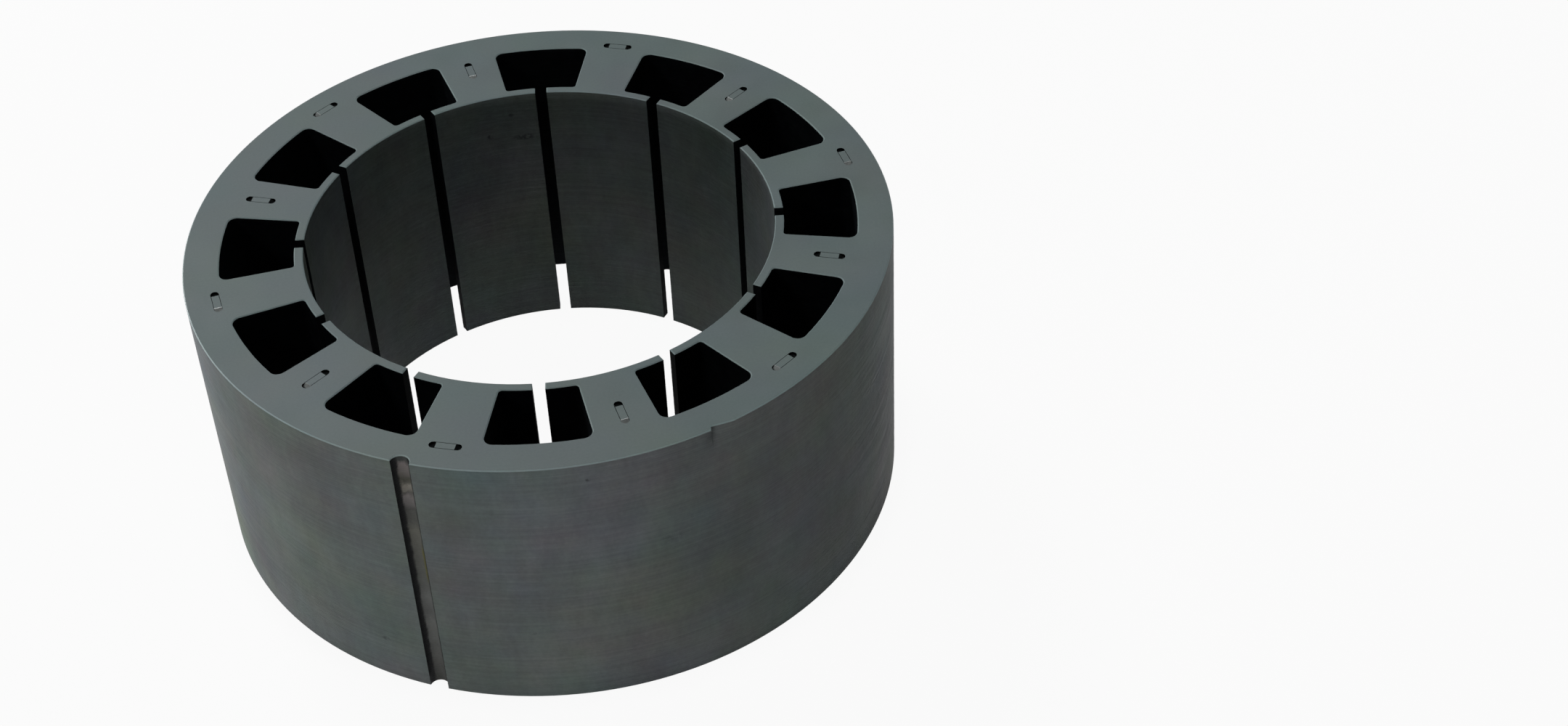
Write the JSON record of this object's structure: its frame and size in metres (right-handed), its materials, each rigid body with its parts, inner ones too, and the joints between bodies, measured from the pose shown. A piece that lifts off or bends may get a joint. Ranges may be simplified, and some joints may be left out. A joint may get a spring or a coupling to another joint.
{
  "type": "stator lamination stack",
  "caption": "Round stack of interlocked electrical-steel sheets with semi-closed winding slots round a bore and a half-round key groove outside.",
  "frame": {"origin": "centre of the bore at the underside of the stack", "axes": "+Z along the bore, up through the sheets to the windowed sheet; +Y through the middle of a winding slot"},
  "size_m": [0.13, 0.13, 0.0555],
  "materials": {
    "sheet_face": "satin, coated, bluish grey",
    "sheet_edges": "satin, cut sheet edges with faint lines"
  },
  "bodies": {
    "root": {"top_lamination": "sheet_face", "core_laminations": "sheet_edges", "bottom_lamination": "sheet_face"}
  },
  "joints": []
}
